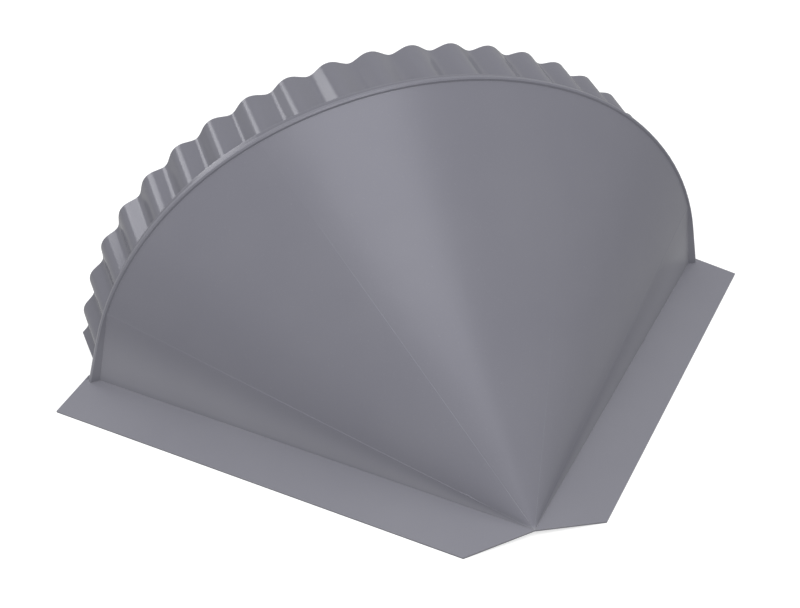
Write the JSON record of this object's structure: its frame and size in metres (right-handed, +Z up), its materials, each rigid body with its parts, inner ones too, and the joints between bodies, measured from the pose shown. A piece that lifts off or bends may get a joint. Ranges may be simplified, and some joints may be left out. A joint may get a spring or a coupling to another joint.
{
  "type": "ridge end cap",
  "caption": "Half-cone sheet metal cap that closes the end of a half-round roof ridge, with side flanges and a beaded, crimped skirt that slips under the ridge.",
  "frame": {"origin": "on the floor under the middle of the part's box, with the cap resting on the outer edges of its flanges", "axes": "+X across the mouth to the right as seen from the nose, +Y from the nose towards the ridge, +Z up"},
  "size_m": [0.2346, 0.1274, 0.0925],
  "materials": {
    "coated_steel": "satin"
  },
  "bodies": {
    "root": {"end_cap": "coated_steel"}
  },
  "joints": []
}
